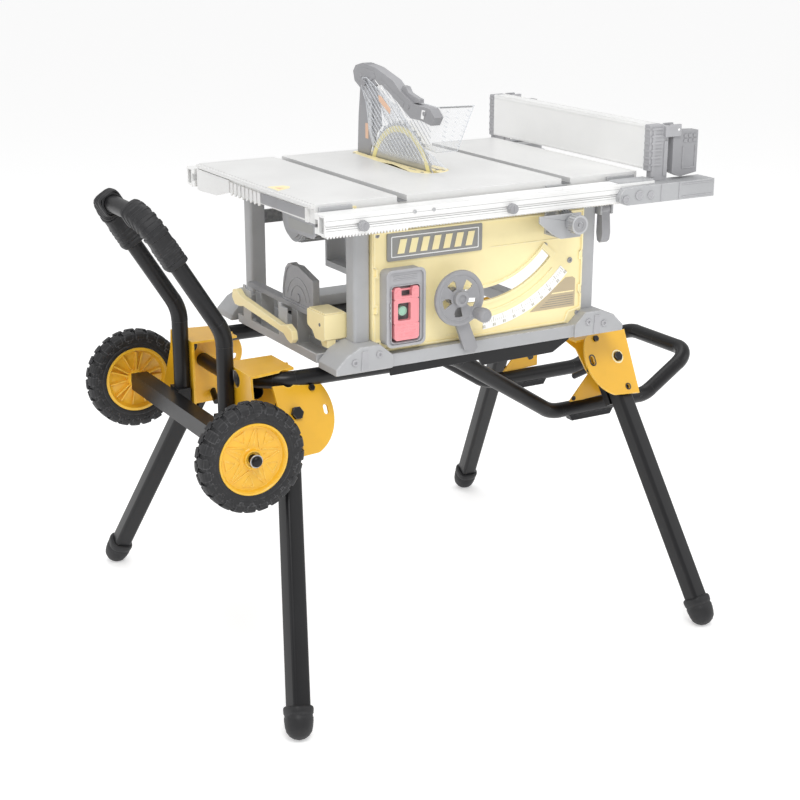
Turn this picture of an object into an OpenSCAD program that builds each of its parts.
// Jobsite table saw with a telescoping rip fence, clamped on a two-wheeled
// folding stand. X runs along the front of the saw, Y to the back, Z is up.
// Origin: middle of the footprint, on the ground.

/* [Table] */
// Width of the cast table along X
table_w = 667; // [640:1:700]
// Depth of the cast table along Y
table_d = 480; // [460:1:500]
// Height of the table surface above the ground
table_z = 855; // [850:1:860]
// X of the table's left edge before centring
table_x0 = -294; // [-300:1:-290]

/* [Blade] */
// Blade diameter
blade_d = 254; // [210:1:254]
// X of the blade's plane
blade_x = 38; // [34:1:42]
// Y of the arbor
arbor_y = 48; // [45:1:50]
// Height of the arbor with the blade fully raised
arbor_z = 807; // [800:1:808]

/* [Stand] */
// Outer diameter of the round frame tubes
tube_d = 30; // [26:1:31]
// Wall of the round frame tubes
tube_w = 2; // [1.5:0.5:3]
// Side of the square leg tubes
leg_s = 34; // [30:1:35]
// Radius of the rubber foot caps
foot_r = 24; // [23:1:26]
// Half distance between the feet across the stand
foot_y = 426; // [410:1:430]

/* [Wheels] */
// Tyre radius
tyre_r = 95.5; // [90:0.5:96]
// Tyre width
tyre_w = 40; // [36:1:40]
// Wheel bore radius; the spindle is 0.06 smaller
hub_r = 8.06; // [8.06:0.01:8.1]

/* [Hidden] */
$fn = 48;
ox = 49; oy = 0;               // centring offset
bx = blade_x; tz = table_z;
function unit(v) = v/norm(v);

// ---------- helpers ----------
module place(o, ex, ey, ez) {
  multmatrix([[ex[0],ey[0],ez[0],o[0]],[ex[1],ey[1],ez[1],o[1]],[ex[2],ey[2],ez[2],o[2]],[0,0,0,1]]) children();
}
function anyperp(u) = unit(cross(u, abs(u[2]) < 0.9 ? [0,0,1] : [1,0,0]));
module rod(a, b, d) {
  u = unit(b-a); p = anyperp(u);
  place(a, p, cross(u,p), u) cylinder(d=d, h=norm(b-a));
}
module pipe(a, b, d, w) {
  u = unit(b-a); p = anyperp(u);
  place(a, p, cross(u,p), u) linear_extrude(norm(b-a)) difference() { circle(d=d); circle(d=d-2*w); }
}
// a bent tube; r holds one bend radius per inner point. The bends are 0.3 mm
// fuller than the straights, which reach 3 mm into them.
module tube(P, r, d, w) {
  n = len(P); e = 3; q = 0.6;
  dirs = [for (i=[0:n-2]) unit(P[i+1]-P[i])];
  trims = [for (i=[0:n-1]) (i==0 || i==n-1) ? 0 :
     r[i-1]*tan(acos(min(1,max(-1,dirs[i-1]*dirs[i])))/2)];
  for (i=[0:n-2]) pipe(P[i]+dirs[i]*(i==0 ? 0 : trims[i]-e), P[i+1]-dirs[i]*(i==n-2 ? 0 : trims[i+1]-e), d, w);
  for (i=[1:n-2]) {
    u = dirs[i-1]; v = dirs[i]; th = acos(u*v);
    nn = unit(v-(u*v)*u);
    place(P[i]-u*trims[i]+nn*r[i-1], -nn, u, cross(-nn,u))
      rotate_extrude(angle=th) translate([r[i-1],0]) difference() { circle(d=d+q); circle(d=d-2*w-q); }
  }
}
module rr(w, h, r) {
  square([w-2*r, h], center=true); square([w, h-2*r], center=true);
  for (x=[-1,1], y=[-1,1]) translate([x*(w/2-r), y*(h/2-r)]) circle(r=r);
}
module xbox(x0, x1, y0, y1, z0, z1) translate([x0,y0,z0]) cube([x1-x0, y1-y0, z1-z0]);
// polygon in the XZ plane, between two Y values
module xz(pts, y0, y1) translate([0,y1,0]) rotate([90,0,0]) linear_extrude(y1-y0) polygon(pts);
module xz2(y0, y1) translate([0,y1,0]) rotate([90,0,0]) linear_extrude(y1-y0) children();
// polygon in the YZ plane, between two X values
module yz(pts, x0, x1) translate([x0,0,0]) rotate([90,0,90]) linear_extrude(x1-x0) polygon(pts);
module ycyl(x, z, y0, y1, r) translate([x,y1,z]) rotate([90,0,0]) cylinder(r=r, h=y1-y0);
module xcyl(y, z, x0, x1, r) translate([x0,y,z]) rotate([0,90,0]) cylinder(r=r, h=x1-x0);
module flip(s) { if (s > 0) mirror([0,1,0]) children(); else children(); }

black = [0.16,0.16,0.17]; yellow = [0.96,0.75,0.16]; grey = [0.62,0.63,0.65];
pale = [0.98,0.90,0.65]; silver = [0.9,0.9,0.9]; rubber = [0.1,0.1,0.1];

// ---------- stand tubes (front half; the rear half is its mirror) ----------
rz = 537;                                  // height of the upper rails
rail_pts = [[-385,-118,rz],[-322,-166.5,rz],[20,-166.5,533],[285,-116,366],[520,-116,366],[641,-108,438],[641,0,438]];
rail_rad = [50,80,70,60,42];
module rail_cut() for (i=[0:2]) {            // the space the rail takes, with sharp corners
  rod(rail_pts[i]-(i==0 ? 12 : 0)*unit(rail_pts[1]-rail_pts[0]), rail_pts[i+1], tube_d+0.8);
  if (i > 0) translate(rail_pts[i]) sphere(d=tube_d+8);
}
module low_rail_cut() rod([250,-116,366], [500,-116,366], tube_d);
module rail_tube() color(black) tube(rail_pts, rail_rad, tube_d, tube_w);
hx = -402;                                 // handle uprights
handle_pts = [[hx,-100,432],[hx,-100,617],[-537,-100,832],[-537,100,832],[hx,100,617],[hx,100,432]];
handle_rad = [80,42,42,80];
module handle_cut() for (s=[-1,1]) rod([hx,s*100,420], [hx,s*100,610], tube_d);
module handle_tube() color(black) tube(handle_pts, handle_rad, tube_d, tube_w);
module handle_grips() color(rubber) for (s=[-1,1]) flip(s)
  tube([[-484,-100,747.6],[-537,-100,832],[-537,-48,832]], [42], 42, 5.2);
wx = -434; wz = 447;                       // wheel axis
beam = 32;
module axle_beam() color(black) {
  difference() {
    union() {
      xbox(wx-beam/2, wx+beam/2, -238, 238, wz-beam/2, wz+beam/2);
      for (s=[-1,1]) xbox(wx+beam/2, hx+8, s*100-20, s*100+20, 434, 468);
    }
    for (s=[-1,1]) xbox(wx-beam/2+2, wx+beam/2-2, s<0 ? -234 : 6, s<0 ? -6 : 234, wz-beam/2+2, wz+beam/2-2);
    handle_cut();
  }
  for (s=[-1,1]) ycyl(wx, wz, s<0 ? -288 : 238, s<0 ? -238 : 288, 8);
  // round cross tube between the two left brackets
  difference() { ycyl(-352, 508, -120, 120, 13); ycyl(-352, 508, -121, 121, 11); }
}

// ---------- legs ----------
P0r = [378,-173,472]; P0l = [-322,-178,474];
foot_z = foot_r-1.5;                       // the caps are flattened 1.5 mm where they stand
foot_rt = [433,-foot_y,foot_z]; foot_lt = [-433,-foot_y,foot_z];
dr = unit(foot_rt-P0r); dl = unit(foot_lt-P0l);
fr = [-cos(5),-sin(5),0]; fl = [cos(10.7),sin(10.7),0];
nr = -unit(cross(dr,fr)); nl = unit(cross(dl,fl));
Lr = norm(foot_rt-P0r); Ll = norm(foot_lt-P0l);
// frame with y along the leg (upwards) and z out of the bracket plate
module legframe(P0, d, n) place(P0, cross(-d,n), -d, n) children();
// frame with x level, z out of the bracket plate
function lv(n) = unit([1,0,0]-n[0]*n);
module plateframe(P0, n) place(P0, lv(n), cross(n,lv(n)), n) children();
pin_y = -62;                               // latch pin's distance from the pivot
module leg_body(L) difference() {
  translate([0,25,0]) rotate([90,0,0]) linear_extrude(25+L-4) rr(leg_s,leg_s,7);
  translate([0,22,0]) rotate([90,0,0]) linear_extrude(22+L) rr(leg_s-4,leg_s-4,5);
  cylinder(r=6.06, h=100, center=true);
  translate([0,pin_y,0]) cylinder(r=4.06, h=100, center=true);
}
module foot_body(L) difference() {
  union() { translate([0,-L+44,0]) rotate([90,0,0]) cylinder(r=foot_r, h=44);
            translate([0,-L,0]) sphere(r=foot_r); }
  translate([0,-L+60,0]) rotate([90,0,0]) linear_extrude(56) rr(leg_s,leg_s,7);
}
module latch_body() {                      // spring pin with a finger tab on the inner side
  translate([0,pin_y,-19]) cylinder(r=4, h=44.5);
  difference() {
    translate([-17,pin_y-20,-33]) cube([34,44,14.5]);
    translate([0,pin_y-8,-40]) cylinder(r=6.5, h=30);
  }
}
module leg_r() color(black) legframe(P0r,dr,nr) leg_body(Lr);
module leg_l() color(black) legframe(P0l,dl,nl) leg_body(Ll);
module foot_rr() color(rubber) difference() { legframe(P0r,dr,nr) foot_body(Lr); xbox(380,480,-480,-370,-20,0); }
module foot_ll() color(rubber) difference() { legframe(P0l,dl,nl) foot_body(Ll); xbox(-480,-380,-480,-370,-20,0); }
module latch_r() color(black) legframe(P0r,dr,nr) latch_body();
module latch_l() color(black) legframe(P0l,dl,nl) latch_body();

// ---------- leg brackets ----------
module bolt_r(sol=false) plateframe(P0r,nr) {     // pivot bolt with its washers and head
  translate([0,0,-112]) cylinder(r=6, h=112+35);
  translate([0,0,30]) cylinder(r=9.5, h=5, $fn=sol?48:6);
  for (z=[17.4,-26]) translate([0,0,z]) cylinder(r=11, h=8.6);
}
module bolt_l(sol=false) plateframe(P0l,nl) {
  translate([0,0,-100]) cylinder(r=6, h=100+36);
  translate([0,0,30]) cylinder(r=12, h=6, $fn=sol?48:6);
  for (z=[17.4,-26]) translate([0,0,z]) cylinder(r=11, h=8.6);
}
// outline of the outer plate: an arc about the pivot between two straight edges
module quarter(m) polygon(concat([[m*36,52],[m*30,-77]],
  [for (i=[0:30]) let(a=-112-(104)*i/30) [m*79*cos(a), 79*sin(a)]], [[m*-50,50]]));
module outer_plate(m) difference() {
  linear_extrude(4) quarter(m);
  translate([m*-63,0,-1]) linear_extrude(6) rr(10,18,4.9);
  translate([m*6,-61,-1]) cylinder(r=4.5, h=6);
  translate([m*-42,41,-1]) cylinder(r=4, h=6);
}
module small_bolt(m) translate([m*-42,41,22]) { cylinder(r=4, h=8); translate([0,0,8]) cylinder(r=6.2, h=4.5, $fn=6); }
module bracket_right() color(yellow) {
  difference() {
    plateframe(P0r,nr) translate([0,0,26]) outer_plate(1);
    plateframe(P0r,nr) cylinder(r=6, h=60);
  }
  difference() {
    union() {
      // back plate that stands on the low rail
      xz([[300,519],[414,524],[414,384],[326,378],[372,430],[340,487]], -120, -116);
      xz([[300,519],[414,524],[414,528],[300,523]], -171.5, -116);
      // end web
      yz([[-232,424],[-171.5,519],[-116,519],[-116,384],[-150,384]], 410, 414);
    }
    low_rail_cut();
    plateframe(P0r,nr) { translate([0,0,-120]) cylinder(r=6, h=100);
      translate([-120,-120,26]) cube([240,240,60]); }
  }
}
module bracket_left() color(yellow) {
  difference() {
    plateframe(P0l,nl) translate([0,0,26]) outer_plate(-1);
    plateframe(P0l,nl) cylinder(r=6, h=60);
    rail_cut();
  }
  difference() {
    union() {
      xz([[-390,553],[-290,553],[-290,470],[-330,424],[-390,424]], -120, -116);
      xz([[-390,553],[-300,553],[-300,557],[-390,557]], -178, -74);
      yz([[-128,424],[-74,424],[-74,553],[-178,553],[-182,520],[-228,430]], -390, -386);
    }
    rail_cut();
    handle_cut();
    plateframe(P0l,nl) { translate([0,0,-120]) cylinder(r=6, h=110);
      translate([-120,-120,26]) cube([240,240,60]); }
    ycyl(-352, 508, -130, 130, 13);
  }
}
module stand_bolts() color(black) {
  for (s=[-1,1]) flip(s) {
    bolt_r(); bolt_l();
    plateframe(P0r,nr) small_bolt(1);
    difference() { plateframe(P0l,nl) small_bolt(-1); rail_cut(); }
    // wheel nuts with washers
    ycyl(wx, wz, -292, -288, 9.5);
  }
}

// ---------- saw mounts on the rails ----------
module saw_mounts() color(black) for (s=[-1,1]) flip(s) difference() {
  union() {
    xbox(-240, 232, -236, -150, 552.5, 556);
    xz([[-150,552.5],[-150,539],[34,541],[40,530],[196,532],[232,552.5]], -240, -236);
    xbox(-240, 232, -240, -236, 552.5, 556);
    for (x=[-150,-20]) xbox(x-14, x+14, -180, -153, 536, 552.5);
  }
  rod(rail_pts[1], rail_pts[2], tube_d);
}

// ---------- saw frame ----------
px0 = -212; px1 = 298;                     // outer faces of the posts
module saw_base() color(grey) {
  for (s=[-1,1]) flip(s) {
    xbox(-190, 280, -245, -188, 556, 580);
    xz([[-262,556],[-262,568],[-240,590],[-214,602],[-176,602],[-150,580],[-150,556]], -250, -180);
    xz([[350,556],[350,568],[328,590],[300,602],[262,602],[238,580],[238,556]], -250, -180);
  }
  xbox(px0, px0+32, -190, 190, 556, 580);
  xbox(px1-32, px1, -190, 190, 556, 580);
}
module post(x) difference() {
  translate([x+16,-206,602]) linear_extrude(245) rr(32,32,6);
  translate([x+16,-206,600]) linear_extrude(260) rr(27,27,4);
}
module saw_posts() color(grey) {
  for (s=[-1,1]) flip(s) { post(px0); post(px1-32); }
  xbox(px0+32, px1-32, 216, 222, 732, 758);     // rear brace
  xbox(px0+32, px1-32, -222, -200, 812, 826);   // front top bar
}
thr_y0 = -79; thr_y1 = 222;
module throat2d(e) let(ra=40+e, rb=24+e, cy=thr_y0+40, dy=thr_y1-24-cy, dl=asin((ra-rb)/dy), cx=bx+5)
  polygon(concat([for (i=[0:24]) let(a=180-dl+(180+2*dl)*i/24) [cx+ra*cos(a), cy+ra*sin(a)]],
                 [for (i=[0:16]) let(a=dl+(180-2*dl)*i/16) [cx+rb*cos(a), cy+dy+rb*sin(a)]]));
module table_top() color(silver) difference() {
  union() {
    xbox(table_x0, table_x0+table_w, -table_d/2, table_d/2, tz-8, tz);
    for (s=[-1,1]) flip(s) xbox(table_x0, table_x0+table_w, -table_d/2, -table_d/2+6, tz-33, tz-8);
    xbox(table_x0, table_x0+6, -table_d/2+6, table_d/2-6, tz-33, tz-8);
    xbox(table_x0+table_w-6, table_x0+table_w, -table_d/2+6, table_d/2-6, tz-33, tz-8);
    for (x=[-128,213]) xbox(x-17, x+17, -table_d/2+6, table_d/2-6, tz-16, tz-8);
    // arc brackets that carry the tilting carriage
    for (y=[[-172,-164],[230,235]]) intersection() {
      difference() { ycyl(bx, tz, y[0], y[1], 66); ycyl(bx, tz, y[0]-1, y[1]+1, 50); }
      xbox(bx-70, bx+70, y[0]-1, y[1]+1, tz-70, tz-7);
    }
    // throat ledge
    intersection() { translate([0,0,tz-11]) linear_extrude(4) throat2d(7); xbox(-60,160,-200,234,tz-11,tz-7); }
  }
  for (x=[-128,213]) {
    xbox(x-9.5, x+9.5, -table_d/2-1, table_d/2+1, tz-9.5, tz+1);
  }
  translate([0,0,tz-6]) linear_extrude(8) throat2d(0.3);
  translate([0,0,tz-12]) linear_extrude(10) throat2d(-4);
}
module throat_plate() color(pale) difference() {
  translate([0,0,tz-6]) linear_extrude(6) throat2d(0);
  xbox(bx-4, bx+11, arbor_y-124, thr_y1-5, tz-10, tz+1);
  xbox(bx-6.2, bx+8, 138, 174, tz-10, tz+1);          // wider where the pawls drop through
  translate([bx+26, thr_y0+30, tz-10]) cylinder(r=8, h=20);
}

// bevel arc on the front panel
arc_r = 197;
module arc_band(r0, r1, a0, a1) translate([bx,tz]) rotate(a0-90)
  polygon(concat([for (i=[0:24]) let(a=(a1-a0)*i/24) [r1*cos(a), r1*sin(a)]],
                 [for (i=[24:-1:0]) let(a=(a1-a0)*i/24) [r0*cos(a), r0*sin(a)]]));
module front_panel() color(pale) difference() {
  union() {
    xz([[-179,602.3],[-175.8,602.3],[-149.8,580.3],[237.8,580.3],[261.8,602.3],[265,602.3],[265,794],[-179,794]], -228, -224);
    for (x=[-179,262]) xbox(x, x+3, -224, -210, 603, 794);
    // raised bezel round the arc slot
    xz2(-231, -228) arc_band(arc_r-17, arc_r+17, -24, 50);
  }
  xz2(-240, -200) arc_band(arc_r-12, arc_r+12, -22, 47);
  xbox(-158, -96, -240, -200, 604, 722);
  ycyl(187.5, 786.5, -240, -200, 11);
}
sw_x = -127.5;
module switch_box() color([0.35,0.35,0.37]) difference() {
  union() {
    translate([sw_x,-228,662]) rotate([90,0,0]) linear_extrude(24) rr(75,134,10);
    xbox(-157, -97, -228, -196, 605, 721);
  }
  xbox(-154, -100, -235, -199, 608, 718);             // inside
  translate([sw_x,-238,652]) rotate([90,0,0]) linear_extrude(20) rr(56,100,6);
  ycyl(-132, 656, -250, -220, 9.06);
  xcyl(-249, 694, -160, -95, 2.06);
}
module stop_paddle() color([0.93,0.55,0.58]) difference() {
  union() {
    translate([sw_x,-246,651]) rotate([90,0,0]) linear_extrude(12) rr(50,92,6);
    xcyl(-249, 694, -159, -96, 2);
  }
  xbox(-145, -119, -260, -240, 640, 672);
}
module start_button() color([0.6,0.78,0.66]) ycyl(-132, 656, -251, -222, 9);

// ---------- rail guides, rack cover and lever clevis ----------
g_z0 = 819; g_z1 = 833;
pin_x = 187.5; pin_z = 786.5;
module rail_guides() color(grey) {
  for (s=[-1,1]) flip(s) {
    difference() {
      union() {
        for (x=[-288,302]) {
          xbox(x, x+62, -246, -240, 823, 850);
          xbox(x, x+62, -259, -246, g_z0+0.5, g_z1-0.5);
        }
        xbox(168, 212, -246, -240, 758, 845);
      }
      ycyl(pin_x, pin_z, -260, -230, 5.06);
    }
  }
  // casting in front of the front pinion
  difference() {
    union() { xz([[122,790],[122,802],[212,802],[212,758],[168,758],[150,768]], -292, -288);
      xbox(168, 212, -288, -240, 758, 762); }
    ycyl(pin_x, pin_z, -300, -280, 5.06);
  }
  // clevis of the rail lock lever
  for (x=[300,325]) xbox(x, x+4, -232, -212, 778, tz-8);
  xcyl(-222, 787, 304, 325, 4);
}
// ---------- wheels ----------
module rim() color(yellow) translate([wx,-263,wz]) rotate([90,0,0]) difference() {
  union() {
    rotate_extrude($fn=96) polygon([[hub_r,-19],[20,-19],[20,-5],[50,-5],[54,-17],[63,-17],[63,17],[54,17],[50,3],[20,3],[20,19],[hub_r,19]]);
    for (a=[0:72:288]) rotate(a) translate([18,-4,3]) cube([34,8,9]);
    for (a=[36:72:324]) rotate(a) translate([18,-4,3]) cube([34,8,9]);
  }
  translate([0,0,-40]) cylinder(r=hub_r, h=80);
}
module tyre() color(rubber) translate([wx,-263,wz]) rotate([90,0,0]) rotate_extrude($fn=96)
  polygon([[63,-17],[70,-19],[84,-20],[91,-18],[94.5,-13],[tyre_r,-6],[tyre_r,6],[94.5,13],[91,18],[84,20],[70,19],[63,17]]);

// ---------- telescoping rails and fence ----------
rail_x0 = -299; rail_x1 = 380;
module rail_ext(x0, x1) difference() {
  xbox(x0, x1, -285, -249, 809, 843);
  xbox(x0-1, x1+1, -260, -248, g_z0, g_z1);           // track for the guides
  xbox(x0-1, x1+1, -281, -265, 813, 839);             // hollow
  xbox(x0-1, x1+1, -286, -283, 824, 828);             // front groove
}
module rack() xz([for (i=[0:111]) each [[rail_x0+6*i,808.9],[rail_x0+6*i+2,808.9],[rail_x0+6*i+2.6,806],[rail_x0+6*i+4.4,806],[rail_x0+6*i+5,808.9]],
   [rail_x0+672,808.9],[rail_x0+672,810],[rail_x0,810]], -280, -268);
module fence_rails() color(silver) for (s=[-1,1]) flip(s) { rail_ext(rail_x0, rail_x1); rack(); }
fx = 395;                                              // fence's face centre plane
module rail_end_fittings() color(grey) for (s=[-1,1]) flip(s) {
  difference() {
    union() {
      xbox(rail_x1, 512, -297, -249, 805, 838);
      xz([[292,822],[302,836],[rail_x1,838],[rail_x1,805],[310,805],[292,812]], -297, -285);
    }
    for (x=[392,436,478]) xbox(x, x+28, -291, -264, 800, 832);
    xbox(rail_x1-1, 513, -260, -248, g_z0, g_z1);
  }
  // clamp knobs and screws on the rail's face, and the scale plate on its top
  if (s < 0) { for (x=[-230,65]) ycyl(x, 822, -295, -285, 8.5);
    for (x=[-129,-92]) ycyl(x, 835, -287, -285, 3);
    xbox(300, 378, -283, -252, 843, 846); }
}
module fence() color(silver) difference() {
  xbox(fx-15, fx+15, -250, 250, 859, 941);
  for (z=[863,903]) xbox(fx-11, fx+11, -260, 260, z, z+34);
}
lat_x = 440; lat_z = 930;
module fence_heads() color([0.4,0.4,0.42]) for (s=[-1,1]) flip(s) {
  xbox(fx-15, fx+15, -266, -250, 857, 941);
  xbox(fx-9, fx+15, -266, -252, 838, 857);
  xbox(fx+15, fx+28, -266, -250, 838, 938);
  // clevis of the end latch, with its pin
  xbox(fx+28, lat_x+6, -274, -270, 918, 940); xbox(fx+28, lat_x+6, -250, -246, 918, 940);
  xbox(fx+15, fx+28, -274, -266, 918, 938); xbox(fx+15, fx+28, -250, -246, 918, 938);
  ycyl(lat_x, lat_z, -270, -250, 4);
}
module fence_latch() color([0.45,0.45,0.47]) difference() {
  union() { xz([[432,922],[448,928],[490,926],[490,848],[452,842],[432,850]], -269.5, -250.5);
    ycyl(lat_x, lat_z, -269.5, -250.5, 8); }
  ycyl(lat_x, lat_z, -280, -240, 4.06);
  xbox(440, 482, -265, -255, 860, 900);
}
// ---------- rack and pinion ----------
function gear(n, rt, rroot) = [for (i=[0:n-1]) let(a=360*i/n)
  each [[rroot*cos(a-4.2), rroot*sin(a-4.2)],[rt*cos(a-2.4), rt*sin(a-2.4)],[rt*cos(a+2.4), rt*sin(a+2.4)],[rroot*cos(a+4.2), rroot*sin(a+4.2)]]];
// a tooth of the pinion points straight up when a gap of the rack is above it
module pinion(y0, y1) translate([pin_x,y1,pin_z]) rotate([90,0,0]) rotate(90+pin_ph)
  difference() { linear_extrude(y1-y0) polygon(gear(21, 20.6, 17.4)); translate([0,0,-1]) cylinder(r=4, h=60); }
pin_ph = 0;
module rack_pinion_shaft() color(grey) {
  ycyl(pin_x, pin_z, -318, 290, 5);
  for (s=[-1,1]) difference() { union() { pinion(s<0 ? -279 : 269, s<0 ? -269 : 279); } }
  ycyl(pin_x, pin_z, -322, -304, 17); ycyl(pin_x, pin_z, -304, -293, 12);
}
module rail_lock_lever() color([0.4,0.4,0.42]) difference() {
  union() {
    xcyl(-222, 787, 305, 324, 9);
    yz([[-229,782],[-215,782],[-214,742],[-217,728],[-224,724],[-231,730],[-233,744]], 305, 324);
  }
  xcyl(-222, 787, 300, 330, 4.06);
}

// ---------- bevel carriage ----------
hwx = bx - arc_r*sin(19); hwz = tz - arc_r*cos(19);       // handwheel shaft at 0 degrees
rodA = [bx-50,-134]; rodB = [bx-50,168];
lift = 79;                                                // blade travel
module shoe(y0, y1) intersection() {
  difference() { ycyl(bx, tz, y0, y1, 49.7); ycyl(bx, tz, y0-1, y1+1, 36); }
  xz([[bx-26,tz-60],[bx,tz],[bx+26,tz-60]], y0, y1);
}
module bevel_carriage() color([0.5,0.5,0.52]) difference() {
  union() {
    // arc shoes that hang in the table's arc brackets
    shoe(-172, -164); shoe(230, 233.6);
    xbox(bx-12, bx+12, -163.6, -156, 700, 819);
    xbox(bx-12, bx+12, -172, -156, 808, 819);
    xz([[bx-84,650],[bx+12,650],[bx+12,712],[bx-84,712]], -163.6, -156);
    xbox(bx-12, bx+12, 196, 202, 650, 819);
    xbox(bx-12, bx+12, 196, 233.6, 808, 819);
    xz([[bx-84,636],[bx+12,636],[bx+12,690],[bx-84,690]], 196, 202);
    // lower beam under the motor's travel
    xbox(bx-84, bx-40, -163.6, 202, 636, 648);
    xbox(bx-84, bx-40, -163.6, -156, 640, 652);
    // guide rods
    translate([rodA[0],rodA[1],640]) cylinder(r=7, h=182);
    translate([rodB[0],rodB[1],640]) cylinder(r=7, h=182);
    // top ties
    xbox(bx-60, bx-12, -163.6, -124, 818, 826);
    xbox(bx-60, bx-12, 158, 202, 818, 826);
    xbox(bx-20, bx-12, -163.6, -156, 790, 826); xbox(bx-20, bx-12, 196, 202, 790, 826);
    // bearing of the handwheel shaft
    ycyl(hwx, hwz, -212, -156, 11);
  }
  ycyl(hwx, hwz, -230, -140, 5.06);
  // slot that the riving knife drops into
  xbox(bx-2.2, bx+2.2, 190, 240, tz-lift-30, tz);
}
module handwheel() color([0.45,0.45,0.47]) {
  ycyl(hwx, hwz, -276, -150, 5);
  difference() {
    union() {
      ycyl(hwx, hwz, -276, -258, 12);
      ycyl(hwx, hwz, -268, -262, 44);
      translate([hwx,-262,hwz]) rotate([90,0,0]) rotate_extrude($fn=72) translate([45,2]) polygon([[-5.5,-2.5],[-2.5,-5.5],[2.5,-5.5],[5.5,-2.5],[5.5,2.5],[2.5,5.5],[-2.5,5.5],[-5.5,2.5]]);
      translate([ckx,-260,ckz]) rotate([90,0,0]) cylinder(r=12, h=9);
    }
    for (a=[32:72:320]) translate([hwx,-250,hwz]) rotate([90,0,0]) rotate(a) translate([26,0,0]) cylinder(r=8.5, h=30);
    ycyl(ckx, ckz, -290, -250, 3.06);
    ycyl(ckx, ckz, -275, -269, 14);
    ycyl(ckx, ckz, -260, -250, 6.5);
    ycyl(hwx, hwz, -270, -250, 5);
  }
}
ckx = hwx + 46*cos(-40); ckz = hwz + 46*sin(-40);
module crank_knob() color([0.4,0.4,0.42]) {
  ycyl(ckx, ckz, -272, -257, 3);
  ycyl(ckx, ckz, -301, -269.4, 13);
  ycyl(ckx, ckz, -259.6, -257, 6);
}
module bevel_lock_lever() color([0.45,0.45,0.47]) difference() {
  union() {
    ycyl(hwx, hwz, -254, -240, 15);
    xz([[hwx-12,hwz-6],[hwx+14,hwz-6],[hwx+32,hwz-60],[hwx+48,hwz-98],[hwx+40,hwz-107],[hwx+20,hwz-100],[hwx+4,hwz-58]], -254, -247);
  }
  ycyl(hwx, hwz, -260, -230, 5.06);
}

// ---------- arbor unit ----------
mot_y = 0; mot_z = 784; kn_y = arbor_y-60;
module motor_unit() color([0.5,0.5,0.52]) difference() {
  union() {
    xcyl(mot_y, mot_z, -213, bx-62, 44);
    xcyl(mot_y, mot_z, -219, -213, 36);
    // gear case between the motor and the blade
    yz([[-50,742],[-50,812],[-30,830],[60,830],[82,815],[82,785],[50,742]], bx-62, bx-31);
    xbox(bx-62, bx-38, rodA[1]-13, -50, 775, 800);
    xbox(bx-62, bx-38, 80, rodB[1]+13, 785, 800);
    // arm to the riving knife clamp
    xbox(bx-36, bx-30, 80, 192, 792, 812);
    xbox(bx-36, bx-1.2, 184, 192, 792, 812);
  }
  translate([rodA[0],rodA[1],600]) cylinder(r=7.06, h=300);
  translate([rodB[0],rodB[1],600]) cylinder(r=7.06, h=300);
  xcyl(arbor_y, arbor_z, bx-58, bx-20, 8.06);
}
module dust_shroud() color(grey) {
  difference() {
    intersection() { xcyl(arbor_y, arbor_z, bx-30, bx+30, 132); xbox(0, 90, -200, 260, 600, 782); }
    intersection() { xcyl(arbor_y, arbor_z, bx-27, bx+27, 129.5); xbox(0, 90, -200, 260, 600, 790); }
  }
  xbox(bx-31, bx-30, -40, 48, 744, 782);
}
knife_x0 = bx-1.2; knife_x1 = bx+1.2;
module riving_knife() color([0.35,0.35,0.37]) {
  yz(concat([for (a=[-8:8:56]) [arbor_y+131*cos(a), arbor_z+131*sin(a)]],
     [[124,935],[130,975],[160,1004],[196,1006],[204,985],[212,925],[216,857],[192,835],[192,790]]), knife_x0, knife_x1);
  xcyl(160, 955, bx-6.5, bx+6.5, 3);
}
arm_w = 9.5; sp = [166, 994];                             // guard arm half width, shield pivot
arm_pts = [for (p=[[228,1014],[218,1026],[189,1033],[154,1030],[138,1028],[74,1011],[48,995],[0,975],[-60,973],[-78,959],[-66,943],[-30,948],[8,948],[44,966],[77,986],[108,1000],[154,993],[194,982],[222,996]]) [p[0]-10, p[1]-2]];
module guard_arm() color([0.42,0.42,0.44]) {
  difference() {
    yz(arm_pts, bx-arm_w, bx+arm_w);
    yz([[230,955],[110,955],[120,1007],[204,1009],[230,1000]], knife_x0, knife_x1);
  }
  for (x=[[-arm_w-5,-arm_w],[arm_w,arm_w+5]]) xcyl(sp[0], sp[1], bx+x[0], bx+x[1], 4);
}
sh_l = [[sp[0]+14,988],[sp[0]+8,1004],[sp[0]-8,1006],[50,964],[-48,902],[-136,872],[-126,868],[90,868],[130,880],[150,915],[162,960]];
sh_r = [[sp[0]+14,988],[sp[0]+8,1004],[sp[0]-8,1006],[40,976],[-60,972],[-95,977],[-185,989],[-131,901],[-60,888],[60,896],[130,928],[158,966]];
module shield(pts, x0) yz(pts, x0, x0+2.2);
module guard_shield_left() color([0.85,0.9,0.92,0.5]) difference() {
  shield(sh_l, bx-arm_w-2.6);
  xcyl(sp[0], sp[1], bx-30, bx+30, 4.06);
}
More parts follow.
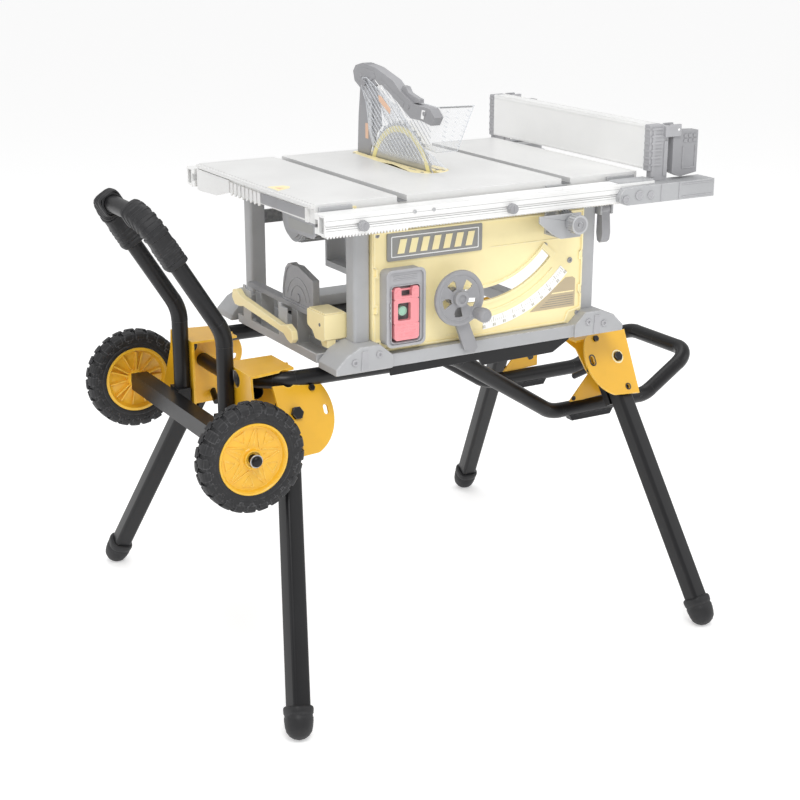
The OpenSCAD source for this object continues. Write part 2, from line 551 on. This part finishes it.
// the right shield is lifted, with its tall front end clear of the table
module guard_shield_right() color([0.85,0.9,0.92,0.5]) difference() {
  shield(sh_r, bx+arm_w+0.4);
  xcyl(sp[0], sp[1], bx-30, bx+30, 4.06);
}
module kickback_pawls() color([0.4,0.4,0.42]) difference() {
  union() for (x=[[-5.4,-1.7],[1.7,5.4]]) {
    xcyl(160, 955, bx+x[0], bx+x[1], 9);
    yz([[152,958],[169,955],[166,905],[148,872],[142,876],[152,905]], bx+x[0], bx+x[1]);
  }
  xcyl(160, 955, bx-20, bx+20, 3.06);
}
module saw_blade() color(silver) difference() {
  union() { xcyl(arbor_y, arbor_z, bx-1, bx+1, blade_d/2-5);
    translate([bx-1.3,arbor_y,arbor_z]) rotate([90,0,90]) linear_extrude(2.6)
      polygon([for (i=[0:39]) each [[(blade_d/2-8)*cos(9*i), (blade_d/2-8)*sin(9*i)],[blade_d/2*cos(9*i+6), blade_d/2*sin(9*i+6)],[blade_d/2*cos(9*i+7.4), blade_d/2*sin(9*i+7.4)]]]); }
  xcyl(arbor_y, arbor_z, bx-5, bx+5, 8);
  for (x=[bx-3,bx+1]) xcyl(arbor_y, arbor_z, x, x+2, 20);
}
module arbor() color([0.6,0.6,0.62]) {
  xcyl(arbor_y, arbor_z, bx-56, bx+24, 8);
  xcyl(arbor_y, arbor_z, bx-8, bx-1, 20);
  xcyl(arbor_y, arbor_z, bx+1, bx+6, 20);
  translate([bx+6,arbor_y,arbor_z]) rotate([0,90,0]) cylinder(r=15, h=9.5, $fn=6);
}

// ---------- stored accessories ----------
module storage_bracket() color(grey) {
  // tray on the left side of the base, with posts that hold the accessories
  difference() {
    xbox(-262, -212, -176, 150, 562, 578);
    xbox(-258, -216, -170, 144, 566, 590);
  }
  for (y=[-60,92]) { xbox(-262, -258, y, y+24, 578, 634); xbox(-240, -212, y, y+24, 562, 628); }
  for (y=[-60,92]) xbox(-262, -258, y+24, y+34, 578, 640);
}
module mitre_gauge() color([0.45,0.45,0.47]) {
  xbox(-240, -221, -176, 150, 628.3, 637);                // bar
  intersection() { xcyl(-58, 650, -236, -226, 62); xbox(-260, -210, -130, 4, 637, 730); }
  ycyl(-231, 660, -72, -44, 3);
}
module push_stick() color(pale)
  yz([[150,612],[146,628],[128,632],[110,622],[-60,606],[-84,612],[-104,604],[-108,588],[-98,580],[-84,584],[-70,592],[100,604],[120,600],[138,600]], -274, -262.3);

module at() translate([-ox,-oy,0]) children();
at() rail_tube();  // rail_front_tube
at() mirror([0,1,0]) rail_tube();  // rail_rear_tube
at() handle_tube();
at() handle_grips();
at() axle_beam();
at() bracket_right();  // bracket_front_right
at() mirror([0,1,0]) bracket_right();  // bracket_rear_right
at() bracket_left();  // bracket_front_left
at() mirror([0,1,0]) bracket_left();  // bracket_rear_left
at() stand_bolts();
at() saw_mounts();
at() saw_base();
at() saw_posts();
at() table_top();
at() throat_plate();
at() front_panel();
at() switch_box();
at() rail_guides();
at() storage_bracket();
at() leg_r();  // leg_front_right
at() mirror([0,1,0]) leg_r();  // leg_rear_right
at() leg_l();  // leg_front_left
at() mirror([0,1,0]) leg_l();  // leg_rear_left
at() foot_rr();  // foot_front_right
at() mirror([0,1,0]) foot_rr();  // foot_rear_right
at() foot_ll();  // foot_front_left
at() mirror([0,1,0]) foot_ll();  // foot_rear_left
at() latch_r();  // latch_front_right
at() mirror([0,1,0]) latch_r();  // latch_rear_right
at() latch_l();  // latch_front_left
at() mirror([0,1,0]) latch_l();  // latch_rear_left
at() tyre();  // tyre_front
at() mirror([0,1,0]) tyre();  // tyre_rear
at() rim();  // rim_front
at() mirror([0,1,0]) rim();  // rim_rear
at() fence_rails();
at() rail_end_fittings();
at() fence();
at() fence_heads();
at() fence_latch();  // fence_latch_front
at() mirror([0,1,0]) fence_latch();  // fence_latch_rear
at() rack_pinion_shaft();
at() rail_lock_lever();
at() bevel_carriage();
at() handwheel();
at() crank_knob();
at() bevel_lock_lever();
at() motor_unit();
at() dust_shroud();
at() riving_knife();
at() guard_arm();
at() saw_blade();
at() arbor();
at() guard_shield_left();
at() guard_shield_right();
at() kickback_pawls();
at() stop_paddle();
at() start_button();
at() mitre_gauge();
at() push_stick();
